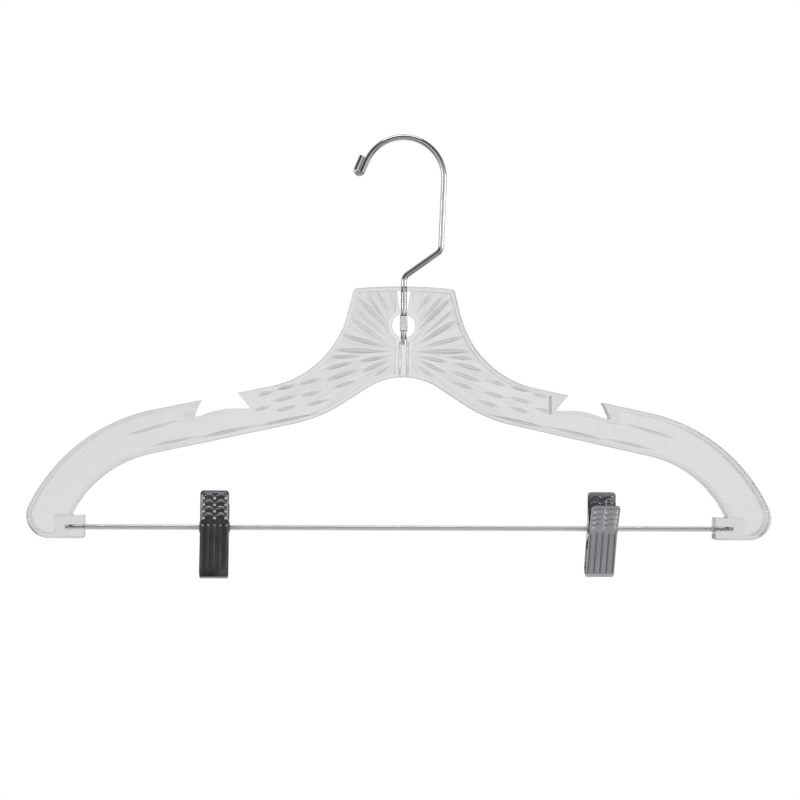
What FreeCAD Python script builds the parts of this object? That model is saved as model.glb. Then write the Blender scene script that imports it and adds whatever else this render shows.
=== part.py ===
"""Clothes hanger for suits: moulded arms, wire hook that swivels, wire bar and two trouser clips.

The hook hangs from a rail at the origin, the arms run along X, the wearer's front is -Y and +Z is up.
All sizes are in millimetres and sit in the spreadsheet called Sizes.
"""
import FreeCAD, Part
import math
import os
import re
import Sketcher

from FreeCAD import Vector

doc = FreeCAD.newDocument("clothes_hanger")

# ---------------------------------------------------------------------------------------------
# Driving sizes
# ---------------------------------------------------------------------------------------------
SIZES = {
    # hook wire
    "hook_wire": 3.4,            # wire diameter
    "hook_inner_radius": 21.8,   # inside of the round part, which sits over the rail
    "hook_offset": 0.6,          # the round part's middle, left of the shaft
    "leg_reach": 21.4,           # where the long leg ends, right of the shaft
    "leg_drop": 64.0,            # depth of the upper bend below the rail
    "bend_drop": 79.4,           # depth of the lower bend, where the shaft starts
    "hook_bend": 5.0,            # centreline radius of both bends
    "tip_sweep": 157.0,          # how far round the wire goes before its straight end, in degrees
    "tip_run": 6.5,              # length of that straight end, down to the fold
    "tip_return": 8.4,           # length of the folded end, which lies back along it
    "tip_gap": 0.1,              # air between the wire and its folded end
    # neck
    "neck_top": 85.2,            # depth of the neck's crowned top below the rail, at its middle
    "neck_half_width": 29.0,
    "neck_fall": 1.4,            # how much lower the neck's corners are than its middle
    "neck_corner": 3.0,
    "crown_peak": 0.8,           # where the top's two slopes would meet, above the top
    "crown_end": 7.0,            # straight part of each slope, in from the neck's side
    "flare_in": 12.6,            # the neck's side runs out this far before it meets the arm's line
    "flare_radius": 57.0,
    "window_drop": 22.6,         # window's middle below the neck's top
    "window_radius": 6.95,
    "window_wall": 2.3,          # ring round the window
    "slot_top_width": 8.5,       # keystone slot between the neck's top and the window
    "slot_low_width": 5.0,
    "bridge_top": 2.3,           # plastic over the slot
    "bridge_low": 1.8,           # plastic between the slot and the window
    "column_width": 9.5,         # upright boss that the shaft stands in
    "column_depth": 8.0,
    "shaft_play": 0.05,          # radial running clearance of the shaft
    "flat_spread": 1.0,          # squashed inside the window, the shaft is this much wider
    "flat_thin": 1.2,            # and this much thinner than the wire
    "flat_length": 9.5,
    "flat_play": 0.2,            # clearance over the flat
    "tip_below_window": 3.8,     # shaft's round end below the window
    "tip_play": 0.7,             # room under the shaft's end
    # arms
    "arm_reach": 215.9,          # half the hanger's overall width
    "arm_slope": 0.2067,         # fall of the arm's top line per millimetre
    "low_slope": 0.2175,         # fall of the arm's lower line per millimetre
    "arm_line_drop": 127.66,     # depth of the arm's top line where it would cross the middle
    "low_line_drop": 151.25,     # the same for the lower line
    "shoulder_in": 23.9,         # corner of the shoulder, in from the arm's end
    "shoulder_radius": 101.0,
    "end_drop": 64.0,            # from that corner down to the arm's lowest face
    "end_out": 31.8,             # how far the shoulder's outer line runs out on the way down
    "end_radius": 12.9,
    "low_shoulder_in": 40.9,
    "low_shoulder_radius": 66.0,
    "arch_top": 130.4,           # where the two lines of the middle arch would meet
    "arch_radius": 38.0,
    "arch_slope": 0.6494,
    "arch_blend_radius": 84.0,
    "body_depth": 12.0,          # thickness of the rim, front to back
    "web_thick": 2.4,
    "rim_width": 2.3,
    "edge_round": 0.6,
    # strap notches
    "notch_start": 95.8,
    "notch_width": 20.7,
    "notch_undercut": 7.6,       # how far the inner lip overhangs
    "notch_outer_undercut": 5.0,
    "notch_depth": 9.0,
    "notch_low_depth": 9.6,
    "notch_floor": 16.8,         # length of the level part of the floor
    "notch_floor_blend": 40.0,   # radius between the floor's level part and its slope
    "notch_root_round": 1.2,
    "notch_wall": 2.2,
    "notch_outer_wall": 4.2,
    # bar and its sockets
    "bar_diameter": 3.0,
    "bar_height": 6.1,           # axis above the arm's lowest face
    "boss_height": 12.9,
    "boss_face": 32.9,           # inner face of the boss, in from the arm's end
    "boss_solid": 17.0,          # how far the boss stays solid behind that face
    "boss_step": 7.5,            # ledge between the boss's face and the arm
    "socket_depth": 11.0,
    "socket_play": 0.05,
    # trouser clips
    "left_clip_place": -108.5,
    "right_clip_place": 117.0,
    "left_clip_swing": -24.5,    # degrees about the bar
    "right_clip_swing": 21.8,
    "jaw_width": 16.5,
    "jaw_sheet": 0.9,
    "tab_height": 18.95,
    "tab_spread": 10.0,          # outer face of the tab's top, in front of the bar's axis
    "coil_room": 0.9,            # between the spring's coil and the jaw
    "lip_drop": 27.3,            # where the jaw turns in
    "lip_waist": 4.4,
    "jaw_drop": 30.7,
    "jaw_mouth": 1.4,            # outer face of the turned-in edge
    "jaw_gap": 0.3,              # between the two jaws' edges
    "jaw_corner": 2.0,
    "jaw_foot_corner": 1.2,
    "tube_inner_play": 0.1,      # the pivot tube over the bar
    "tube_wall": 0.55,
    "tube_flange": 0.8,
    "tube_flange_thick": 0.5,
    "ear_play": 0.05,            # jaw ears on the tube
    "ear_gap": 0.15,             # between neighbouring ears
    "ear_clear": 0.6,            # between an ear's round end and the other jaw
    "ear_rise": 14.0,            # how far the ear runs up the finger tab
    "ear_foot": 12.0,            # and down the jaw
    "rib_count": 5,
    "rib_margin": 1.11,          # from the jaw's side to its outer rib
    "rib_radius": 0.55,
    "dimple_radius": 0.72,       # small round dimple that starts each rib
    "rib_start": 0.6,
    "rib_length": 26.0,
    "grip_rows": 4,
    "grip_pitch": 3.7,
    "grip_first": 4.6,           # lowest grip above the bar's axis
    "grip_gap": 0.37,            # from the end of a grip's arch to the rib line beside it
    "grip_rise": 1.3,
    "grip_radius": 0.45,
    "spring_wire": 0.8,
    "spring_play": 0.25,         # coil's clearance on the tube
    "spring_turns": 5,
    "spring_pitch": 1.0,
    "spring_rise": 11.4,         # height of the legs' ends above the bar's axis
    "spring_end_play": 0.1,
    "pad_foot_gap": 0.5,         # from the pad's foot to the jaw's bend
    "pad_slant": 2.0,            # the inner face starts this much lower than the pad's back
    "pad_margin": 0.75,          # from the pad's side to the jaw's
    "pad_height": 12.0,
    "pad_gap": 0.2,              # between the two closed pads
    # how far a cutting shape runs past the plastic or the metal it cuts
    "overrun": 1.0,
}

sheet = doc.addObject("Spreadsheet::Sheet", "Sizes")
for row, (alias, value) in enumerate(SIZES.items(), start=1):
    sheet.set("A%d" % row, alias)
    sheet.set("B%d" % row, str(value))
    sheet.setAlias("B%d" % row, alias)
doc.recompute()

ALIAS_PATTERN = re.compile(r"\b(" + "|".join(SIZES) + r")\b")


# ---------------------------------------------------------------------------------------------
# Helpers
# ---------------------------------------------------------------------------------------------
def full(expression):
    """Turn a formula of size names into one that any object can be bound to."""
    return ALIAS_PATTERN.sub(r"Sizes.\1", str(expression))


def value(expression):
    """Work out a formula of size names."""
    return float(sheet.evalExpression(full(expression)))


def bind(thing, **formulas):
    """Bind properties to formulas; a double underscore stands for a dot."""
    for name, formula in formulas.items():
        thing.setExpression(name.replace("__", "."), full(formula))


def place(thing, x="0", y="0", z="0"):
    """Bind the three coordinates of a placement."""
    bind(thing, Placement__Base__x=x, Placement__Base__y=y, Placement__Base__z=z)
    return thing


def cylinder(name, radius, length, axis=Vector(0, 0, 1), **at):
    """Cylinder whose base centre is placed by formulas and whose axis is a given direction."""
    piece = doc.addObject("Part::Cylinder", name)
    bind(piece, Radius=radius, Height=length)
    piece.Placement.Rotation = FreeCAD.Rotation(Vector(0, 0, 1), axis)
    return place(piece, **at)


def box(name, width, depth, height, **at):
    """Box centred in X and Y on its place, standing on it in Z."""
    piece = doc.addObject("Part::Box", name)
    bind(piece, Length=width, Width=depth, Height=height)
    x = at.get("x", "0")
    y = at.get("y", "0")
    return place(piece, x="(%s) - (%s) / 2" % (x, width), y="(%s) - (%s) / 2" % (y, depth), z=at["z"])


def fuse(name, pieces):
    joined = doc.addObject("Part::MultiFuse", name)
    joined.Shapes = pieces
    return joined


def cut(name, base, tool):
    result = doc.addObject("Part::Cut", name)
    result.Base = base
    result.Tool = tool
    return result


def common(name, first, second):
    result = doc.addObject("Part::Common", name)
    result.Base = first
    result.Tool = second
    return result


def draw(sketch, corners):
    """Draw a closed outline from corners (x, y, radius), each a formula; radius 0 leaves it sharp.

    Every corner is a point of the sketch whose two coordinates are bound to their formulas, and every
    round corner is an arc tangent to its two sides whose radius is bound too.
    """
    count = len(corners)
    points = [Vector(value(x), value(y), 0) for x, y, _ in corners]
    radii = [value(radius) for _, _, radius in corners]
    ins = []
    outs = []
    arcs = []
    for i, point in enumerate(points):
        before = (points[i - 1] - point).normalize()
        after = (points[(i + 1) % count] - point).normalize()
        half_angle = before.getAngle(after) / 2
        reach = radii[i] / math.tan(half_angle)
        ins.append(point + before * reach)
        outs.append(point + after * reach)
        if radii[i]:
            centre = point + (before + after).normalize() * (radii[i] / math.sin(half_angle))
            left_turn = (-before).cross(after).z > 0
            first = ins[i] if left_turn else outs[i]
            last = outs[i] if left_turn else ins[i]
            start = math.atan2(first.y - centre.y, first.x - centre.x)
            end = math.atan2(last.y - centre.y, last.x - centre.x)
            if end < start:
                end += 2 * math.pi
            circle = Part.Circle(centre, Vector(0, 0, 1), radii[i])
            arcs.append((Part.ArcOfCircle(circle, start, end), left_turn))
        else:
            arcs.append(None)
    lines = [Part.LineSegment(outs[i], ins[(i + 1) % count]) for i in range(count)]
    line_ids = sketch.addGeometry(lines, False)
    rules = []
    bound = []
    for i in range(count):
        line_in = line_ids[i - 1]
        line_out = line_ids[i]
        if arcs[i] is None:
            rules.append(Sketcher.Constraint("Coincident", line_in, 2, line_out, 1))
            corner = (line_out, 1)
        else:
            arc_id = sketch.addGeometry(arcs[i][0], False)
            arc_start, arc_end = (1, 2) if arcs[i][1] else (2, 1)
            point_id = sketch.addGeometry(Part.Point(points[i]), True)
            rules.append(Sketcher.Constraint("Tangent", line_in, 2, arc_id, arc_start))
            rules.append(Sketcher.Constraint("Tangent", arc_id, arc_end, line_out, 1))
            rules.append(Sketcher.Constraint("PointOnObject", point_id, 1, line_in))
            rules.append(Sketcher.Constraint("PointOnObject", point_id, 1, line_out))
            bound.append((len(rules), corners[i][2]))
            rules.append(Sketcher.Constraint("Radius", arc_id, radii[i]))
            corner = (point_id, 1)
        for kind, formula, size, axis in (("DistanceX", corners[i][0], points[i].x, -2),
                                          ("DistanceY", corners[i][1], points[i].y, -1)):
            if abs(size) < 1e-9:
                rules.append(Sketcher.Constraint("PointOnObject", corner[0], corner[1], axis))
            else:
                bound.append((len(rules), formula))
                rules.append(Sketcher.Constraint(kind, -1, 1, corner[0], corner[1], size))
    sketch.addConstraint(rules)
    for index, formula in bound:
        sketch.setExpression("Constraints[%d]" % index, full(formula))
    return sketch


def free_sketch(name, corners, plane):
    """Sketch of its own in the XZ or the YZ plane."""
    sketch = doc.addObject("Sketcher::SketchObject", name)
    turns = {"XZ": FreeCAD.Rotation(Vector(1, 0, 0), 90), "YZ": FreeCAD.Rotation(Vector(1, 1, 1), 120)}
    sketch.Placement.Rotation = turns[plane]
    return draw(sketch, corners)


def body_sketch(body, name, corners, role):
    """Sketch of a body, on one of that body's origin planes."""
    sketch = body.newObject("Sketcher::SketchObject", name)
    plane = [part for part in body.Origin.OriginFeatures if part.Role == role][0]
    sketch.AttachmentSupport = [(plane, "")]
    sketch.MapMode = "FlatFace"
    return draw(sketch, corners)


def prism(name, outline, depth):
    """Extrude an outline both ways from its plane."""
    result = doc.addObject("Part::Extrusion", name)
    result.Base = outline
    result.DirMode = "Normal"
    result.Solid = True
    result.Symmetric = True
    bind(result, LengthFwd=depth)
    return result


def mirrored(corners):
    """Outline of the other side: every x changes sign and the order turns round."""
    return [("-(%s)" % x, z, radius) for x, z, radius in reversed(corners)]


# ---------------------------------------------------------------------------------------------
# Formulas that several pieces share
# ---------------------------------------------------------------------------------------------
def arm_top(x):
    return "-(arm_line_drop + arm_slope * (%s))" % x


SHOULDER = "(arm_reach - shoulder_in)"
LOWEST = "(%s - end_drop)" % arm_top(SHOULDER)
BAR_AXIS = "(%s + bar_height)" % LOWEST
BOSS_FACE = "(arm_reach - boss_face)"
BOSS_TOP = "(%s + boss_height)" % LOWEST
ARCH_CROWN = "(arch_top + arch_radius * (sqrt(1 + arch_slope ^ 2) - 1))"
CUT_DEPTH = "(body_depth + 2 * overrun)"
BAR_END = "(%s + socket_depth)" % BOSS_FACE
WINDOW = "(-neck_top - window_drop)"
SLOT_TOP = "(-neck_top - bridge_top)"
SLOT_LOW = "(%s + window_radius + bridge_low)" % WINDOW
SHAFT_RADIUS = "(hook_wire / 2)"
SHAFT_HOLE = "(hook_wire / 2 + shaft_play)"
SHAFT_END = "(%s - window_radius - tip_below_window)" % WINDOW
FLAT_WIDTH = "(hook_wire + flat_spread)"
FLAT_THICK = "(hook_wire - flat_thin)"
FLAT_CORNER = "sqrt(%s ^ 2 + %s ^ 2) / 2" % (FLAT_WIDTH, FLAT_THICK)
FLAT_TOP = "(%s + sqrt(window_radius ^ 2 - (%s) ^ 2) - flat_play)" % (WINDOW, FLAT_CORNER)


# ---------------------------------------------------------------------------------------------
# Moulded body
# ---------------------------------------------------------------------------------------------
def arm_outline():
    """Corners of the whole outline, clockwise from the neck's right corner."""
    flare = "(neck_half_width + flare_in)"
    low_shoulder = "(arm_reach - low_shoulder_in)"
    blend = "((low_line_drop - arch_top) / (arch_slope - low_slope))"
    right = [
        ("neck_half_width", "-neck_top - neck_fall", "neck_corner"),
        (flare, arm_top(flare), "flare_radius"),
        (SHOULDER, arm_top(SHOULDER), "shoulder_radius"),
        ("%s + end_out" % SHOULDER, LOWEST, "end_radius"),
        (BOSS_FACE, LOWEST, "edge_round"),
        (BOSS_FACE, BOSS_TOP, "edge_round"),
        ("%s + boss_step" % BOSS_FACE, BOSS_TOP, "edge_round"),
        (low_shoulder, "-(low_line_drop + low_slope * %s)" % low_shoulder, "low_shoulder_radius"),
        (blend, "-(arch_top + arch_slope * %s)" % blend, "arch_blend_radius"),
    ]
    arch = [("0", "-arch_top", "arch_radius")]
    crown_radius = "(neck_half_width - crown_end) * neck_half_width / (neck_fall + crown_peak)"
    crown = [("0", "crown_peak - neck_top", crown_radius)]
    return right + arch + mirrored(right) + crown


def notch_outline(grow, top):
    """Strap notch of the right arm, with both ends undercut; grow adds the wall round it."""
    start = "notch_start"
    end = "(notch_start + notch_width)"
    root = "(notch_start - notch_undercut)"
    floor_end = "(%s + notch_floor)" % root
    far = "(%s + notch_outer_undercut)" % end
    if grow:
        left = "%s - notch_wall" % root
        right = "%s + notch_outer_wall" % far
        floor = "%s - notch_depth - notch_wall" % arm_top(start)
        low = "%s - notch_low_depth - notch_wall" % arm_top(far)
        return [(left, top, "0"), (right, top, "0"), (right, low, "0"), (floor_end, floor, "0"),
                (left, floor, "0")]
    floor = "%s - notch_depth" % arm_top(start)
    return [
        (start, top, "0"),
        (end, top, "0"),
        (end, "%s" % arm_top(end), "edge_round"),
        (far, "%s - notch_low_depth" % arm_top(far), "notch_root_round"),
        (floor_end, floor, "notch_floor_blend"),
        (root, floor, "edge_round"),
        (start, "%s" % arm_top(start), "edge_round"),
    ]


def make_hanger_body():
    outline = free_sketch("body_outline", arm_outline(), "XZ")
    sharp_blank = prism("body_blank_sharp", outline, "body_depth")
    doc.recompute()
    blank = doc.addObject("Part::Fillet", "body_blank")
    blank.Base = sharp_blank
    rounded = value("edge_round")
    face_level = value("body_depth / 2")
    edges = []
    for number, edge in enumerate(sharp_blank.Shape.Edges, start=1):
        extent = edge.BoundBox
        if extent.YLength < 1e-6 and abs(extent.YMax) > face_level - 0.01:
            edges.append((number, rounded, rounded))
    blank.Edges = edges

    inset = doc.addObject("Part::Offset2D", "body_inset")
    inset.Source = outline
    inset.Join = 0
    bind(inset, Value="-rim_width")
    recess = prism("body_recess", inset, CUT_DEPTH)
    rim = cut("body_rim", blank, recess)
    web = prism("body_web", outline, "web_thick")

    column = box("shaft_column", "column_width", "column_depth", "%s - neck_top + 2 * overrun" % ARCH_CROWN,
                 z="-%s - overrun" % ARCH_CROWN)
    ring = cylinder("window_ring", "window_radius + window_wall", "column_depth", Vector(0, 1, 0),
                    y="-column_depth / 2", z=WINDOW)
    bosses = []
    walls = []
    for sign in ("-1", "1"):
        side = "left" if sign == "-1" else "right"
        bosses.append(box("%s_socket_boss" % side, "boss_solid", "body_depth", "boss_height",
                          x="%s * (%s + boss_solid / 2)" % (sign, BOSS_FACE), z=LOWEST))
        corners = notch_outline(True, "-arm_line_drop")
        corners = corners if sign == "1" else mirrored(corners)
        sketch = free_sketch("%s_notch_wall_outline" % side, corners, "XZ")
        walls.append(prism("%s_notch_wall" % side, sketch, "body_depth"))
    solid_zones = fuse("solid_zones", bosses + walls + [column])
    thick_parts = common("thick_parts", blank, solid_zones)
    moulding = fuse("moulding", [rim, web, thick_parts, ring])

    tools = []
    for sign in ("-1", "1"):
        side = "left" if sign == "-1" else "right"
        corners = notch_outline(False, "-arm_line_drop")
        corners = corners if sign == "1" else mirrored(corners)
        sketch = free_sketch("%s_notch_outline" % side, corners, "XZ")
        tools.append(prism("%s_notch" % side, sketch, CUT_DEPTH))
        outward = Vector(float(sign), 0, 0)
        tools.append(cylinder("%s_socket" % side, "bar_diameter / 2 + socket_play", "socket_depth", outward,
                              x="%s * %s" % (sign, BOSS_FACE), z=BAR_AXIS))
    slot = free_sketch("shaft_slot_outline", [
        ("-slot_top_width / 2", SLOT_TOP, "edge_round"),
        ("slot_top_width / 2", SLOT_TOP, "edge_round"),
        ("slot_low_width / 2", SLOT_LOW, "edge_round"),
        ("-slot_low_width / 2", SLOT_LOW, "edge_round"),
    ], "XZ")
    tools.append(prism("shaft_slot", slot, CUT_DEPTH))
    tools.append(cylinder("window", "window_radius", CUT_DEPTH, Vector(0, 1, 0), y="-%s / 2" % CUT_DEPTH,
                          z=WINDOW))
    bore_low = "(%s - tip_play)" % SHAFT_END
    tools.append(cylinder("shaft_bore", SHAFT_HOLE, "overrun - neck_top - %s" % bore_low, z=bore_low))
    return cut("hanger_body", moulding, fuse("body_openings", tools))


# ---------------------------------------------------------------------------------------------
# Hook
# ---------------------------------------------------------------------------------------------
def round_corner(before, corner, after, radius):
    """Two tangent points and the arc that rounds a corner."""
    back = (before - corner).normalize()
    ahead = (after - corner).normalize()
    half_angle = back.getAngle(ahead) / 2
    reach = radius / math.tan(half_angle)
    middle = corner + (back + ahead).normalize() * (radius / math.sin(half_angle) - radius)
    start = corner + back * reach
    end = corner + ahead * reach
    return start, end, Part.Arc(start, middle, end).toShape()


def make_hook():
    """One bent wire, from its folded tip round the rail and down into the neck."""
    wire = value(SHAFT_RADIUS)
    radius = value("hook_inner_radius") + wire
    centre = Vector(-value("hook_offset"), 0, -value("hook_inner_radius"))
    upper_bend = Vector(value("leg_reach"), 0, -value("leg_drop"))
    lower_bend = Vector(0, 0, -value("bend_drop"))
    shaft_end = Vector(0, 0, value(SHAFT_END))
    bend = value("hook_bend")

    # The long leg leaves the round part along a tangent through the upper bend.
    to_bend = upper_bend - centre
    tangent_turn = math.acos(radius / to_bend.Length)
    leg_angle = math.atan2(to_bend.z, to_bend.x) + tangent_turn
    leg_top = centre + Vector(math.cos(leg_angle), 0, math.sin(leg_angle)) * radius
    end_angle = math.radians(value("tip_sweep"))
    mid_angle = (leg_angle + end_angle) / 2
    arc_middle = centre + Vector(math.cos(mid_angle), 0, math.sin(mid_angle)) * radius
    outward = Vector(math.cos(end_angle), 0, math.sin(end_angle))
    down = Vector(-math.sin(end_angle), 0, math.cos(end_angle))
    run_start = centre + outward * radius
    fold_start = run_start + down * value("tip_run")
    fold_radius = wire + value("tip_gap") / 2
    fold_low = fold_start + outward * fold_radius + down * fold_radius
    fold_end = fold_start + outward * (2 * fold_radius)
    tip = fold_end - down * value("tip_return")

    first_in, first_out, first_arc = round_corner(leg_top, upper_bend, lower_bend, bend)
    second_in, second_out, second_arc = round_corner(upper_bend, lower_bend, shaft_end, bend)
    path = Part.Wire([
        Part.makeLine(tip, fold_end),
        Part.Arc(fold_end, fold_low, fold_start).toShape(),
        Part.makeLine(fold_start, run_start),
        Part.Arc(run_start, arc_middle, leg_top).toShape(),
        Part.makeLine(leg_top, first_in),
        first_arc,
        Part.makeLine(first_out, second_in),
        second_arc,
        Part.makeLine(second_out, shaft_end),
    ])
    start = doc.addObject("Part::Feature", "hook_path")
    start.Shape = path
    section = doc.addObject("Part::Feature", "hook_section")
    section.Shape = Part.Wire([Part.makeCircle(wire, tip, down)])
    rod = doc.addObject("Part::Sweep", "hook_rod")
    rod.Sections = [section]
    rod.Spine = (start, ["Edge%d" % (i + 1) for i in range(len(path.Edges))])
    rod.Solid = True
    rod.Frenet = False

    # The flat: the round wire is squashed wider than its bore, so the neck can't be pulled off.
    flat_low = "%s - flat_length" % FLAT_TOP
    gap = box("flat_gap", "2 * hook_wire", "2 * hook_wire", "flat_length", z=flat_low)
    flat_block = box("flat_block", FLAT_WIDTH, FLAT_THICK, "flat_length", z=flat_low)
    doc.recompute()
    flat = doc.addObject("Part::Fillet", "shaft_flat")
    flat.Base = flat_block
    rounded = value("edge_round")
    flat.Edges = [(number + 1, rounded, rounded) for number in range(len(flat_block.Shape.Edges))]
    return fuse("swivel_hook", [cut("hook_rod_gap", rod, gap), flat])


# ---------------------------------------------------------------------------------------------
# Bar
# ---------------------------------------------------------------------------------------------
def make_bar():
    return cylinder("trouser_bar", "bar_diameter / 2", "2 * %s" % BAR_END, Vector(1, 0, 0),
                    x="-%s" % BAR_END, z=BAR_AXIS)


# ---------------------------------------------------------------------------------------------
# Trouser clips, each drawn round its own pivot and then put on the bar
# ---------------------------------------------------------------------------------------------
TUBE_BORE = "(bar_diameter / 2 + tube_inner_play)"
TUBE_RADIUS = "(%s + tube_wall)" % TUBE_BORE
TUBE_HALF = "(jaw_width / 2 + ear_gap)"
COIL_RADIUS = "(%s + spring_play + spring_wire / 2)" % TUBE_RADIUS
COIL_LENGTH = "(spring_pitch * (spring_turns + 0.5))"
INNER_WAIST = "(%s + spring_play + spring_wire + coil_room)" % TUBE_RADIUS
WAIST = "(%s + jaw_sheet)" % INNER_WAIST
EAR_RADIUS = "(%s - ear_clear)" % INNER_WAIST
WAIST_LEAN = "((tab_spread - %s) / tab_height)" % WAIST
LOW_LEAN = "((%s - lip_waist) / lip_drop)" % WAIST
RIB_PITCH = "((jaw_width - 2 * rib_margin) / (rib_count - 1))"
GRIP_HALF_CHORD = "(%s - grip_gap)" % RIB_PITCH


def put_on_bar(piece, side):
    """Move a finished clip piece to its place on the bar and swing it to its angle."""
    bind(piece, Placement__Base__x="%s_clip_place" % side, Placement__Base__z=BAR_AXIS)
    piece.Placement.Rotation = FreeCAD.Rotation(Vector(1, 0, 0), value("%s_clip_swing" % side))
    return piece


def make_tube(side):
    """Hollow rivet: the bar slides through it and its flanges hold the four ears."""
    body = doc.addObject("PartDesign::Body", "%s_clip_pivot_tube" % side)
    end = "(%s + tube_flange_thick)" % TUBE_HALF
    rim = "(%s + tube_flange)" % TUBE_RADIUS
    profile = body_sketch(body, "%s_tube_profile" % side, [
        ("-%s" % end, TUBE_BORE, "0"),
        (end, TUBE_BORE, "0"),
        (end, rim, "0"),
        (TUBE_HALF, rim, "0"),
        (TUBE_HALF, TUBE_RADIUS, "0"),
        ("-%s" % TUBE_HALF, TUBE_RADIUS, "0"),
        ("-%s" % TUBE_HALF, rim, "0"),
        ("-%s" % end, rim, "0"),
    ], "XY_Plane")
    turned = body.newObject("PartDesign::Revolution", "%s_tube_turned" % side)
    turned.Profile = profile
    turned.ReferenceAxis = (profile, ["H_Axis"])
    turned.Angle = 360
    body.Tip = turned
    return put_on_bar(body, side)


def make_jaw(side, face):
    """Pressed sheet jaw: finger tab above the pivot, ribbed jaw below, an ear at each side."""
    name = "%s_clip_%s_jaw" % (side, face)
    toward = "-1" if face == "front" else "1"

    def out(formula):
        return "%s * (%s)" % (toward, formula)

    plate_body = doc.addObject("PartDesign::Body", "%s_plate" % name)
    profile = body_sketch(plate_body, "%s_profile" % name, [
        (out("tab_spread"), "tab_height", "0"),
        (out(WAIST), "0", "0"),
        (out("lip_waist"), "-lip_drop", "0"),
        (out("jaw_mouth"), "-jaw_drop", "0"),
        (out("jaw_gap / 2"), "-jaw_drop", "0"),
        (out("lip_waist - jaw_sheet"), "-lip_drop", "0"),
        (out(INNER_WAIST), "0", "0"),
        (out("tab_spread - jaw_sheet"), "tab_height", "0"),
    ], "YZ_Plane")
    pressed = plate_body.newObject("PartDesign::Pad", "%s_pressed" % name)
    pressed.Profile = profile
    pressed.Midplane = True
    bind(pressed, Length="jaw_width")
    doc.recompute()
    last = pressed
    for place_name, radius, is_there in (
            ("tab", "jaw_corner", lambda extent: extent.ZMin > value("tab_height") - 0.01),
            ("foot", "jaw_foot_corner", lambda extent: extent.ZMax < -value("jaw_drop") + 0.01)):
        corners = []
        for number, edge in enumerate(last.Shape.Edges, start=1):
            extent = edge.BoundBox
            along_y = extent.XLength < 1e-3 and extent.ZLength < 1e-3
            if along_y and is_there(extent):
                corners.append("Edge%d" % number)
        rounded = plate_body.newObject("PartDesign::Fillet", "%s_%s_corners" % (name, place_name))
        rounded.Base = (last, corners)
        bind(rounded, Radius=radius)
        doc.recompute()
        last = rounded
    plate_body.Tip = last

    pieces = [plate_body]
    # Ears: the rear jaw's pair stands outside the front jaw's pair.
    inset = "0" if face == "rear" else "jaw_sheet + ear_gap"
    for sign in ("-1", "1"):
        ear_side = "left" if sign == "-1" else "right"
        ear_body = doc.addObject("PartDesign::Body", "%s_%s_ear" % (name, ear_side))
        ear_sketch = body_sketch(ear_body, "%s_%s_ear_profile" % (name, ear_side), [
            (out("%s - jaw_sheet / 2 + %s * ear_rise" % (WAIST, WAIST_LEAN)), "ear_rise", "0"),
            (out("-%s" % EAR_RADIUS), "%s / 2" % EAR_RADIUS, "%s / 2" % EAR_RADIUS),
            (out("-%s" % EAR_RADIUS), "-%s / 2" % EAR_RADIUS, "%s / 2" % EAR_RADIUS),
            (out("%s - jaw_sheet / 2 - %s * ear_foot" % (WAIST, LOW_LEAN)), "-ear_foot", "0"),
            (out("%s - jaw_sheet / 2" % WAIST), "0", "0"),
        ], "YZ_Plane")
        ear = ear_body.newObject("PartDesign::Pad", "%s_%s_ear_pad" % (name, ear_side))
        ear.Profile = ear_sketch
        ear.Midplane = True
        bind(ear, Length="jaw_sheet")
        ear_body.Tip = ear
        place(ear_body, x="%s * (jaw_width / 2 - jaw_sheet / 2 - (%s))" % (sign, inset))
        pieces.append(ear_body)

    # Ribs down the outside of the jaw, each starting in a small round dimple.
    down = Vector(0, value(out("lip_waist - %s" % WAIST)), -value("lip_drop"))
    for number in range(int(value("rib_count"))):
        across = "(%d - (rib_count - 1) / 2) * %s" % (number, RIB_PITCH)
        rib_y = out("%s - %s * rib_start" % (WAIST, LOW_LEAN))
        pieces.append(cylinder("%s_rib_%d" % (name, number + 1), "rib_radius", "rib_length", down,
                               x=across, y=rib_y, z="-rib_start"))
        dimple = doc.addObject("Part::Sphere", "%s_dimple_%d" % (name, number + 1))
        bind(dimple, Radius="dimple_radius")
        pieces.append(place(dimple, x=across, y=rib_y, z="-rib_start"))

    # Finger grips: two columns of raised arches on the tab.
    arch_radius = "((%s ^ 2 + grip_rise ^ 2) / (2 * grip_rise))" % GRIP_HALF_CHORD
    tab_angle = math.degrees(math.atan(value(WAIST_LEAN)))
    half_sweep = math.degrees(math.asin(value("%s / %s" % (GRIP_HALF_CHORD, arch_radius))))
    turn = 1 if face == "front" else -1
    for row in range(int(value("grip_rows"))):
        for column in ("-1", "1"):
            grip = doc.addObject("Part::Torus", "%s_grip" % name)
            bind(grip, Radius1=arch_radius, Radius2="grip_radius")
            grip.Angle3 = 2 * half_sweep
            upright = FreeCAD.Rotation(Vector(1, 0, 0), 90 + turn * tab_angle)
            opening = FreeCAD.Rotation(Vector(0, 0, 1), 90 - half_sweep)
            grip.Placement.Rotation = upright.multiply(opening)
            level = "(grip_first + %d * grip_pitch - %s + grip_rise)" % (row, arch_radius)
            pieces.append(place(grip, x="%s * %s" % (column, RIB_PITCH),
                                y=out("%s + %s * %s" % (WAIST, WAIST_LEAN, level)), z=level))
    solid = fuse("%s_solid" % name, pieces)
    hole = cylinder("%s_pivot_hole" % name, "%s + ear_play" % TUBE_RADIUS, "jaw_width + 2 * overrun",
                    Vector(1, 0, 0), x="-jaw_width / 2 - overrun")
    return put_on_bar(cut(name, solid, hole), side)


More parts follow.
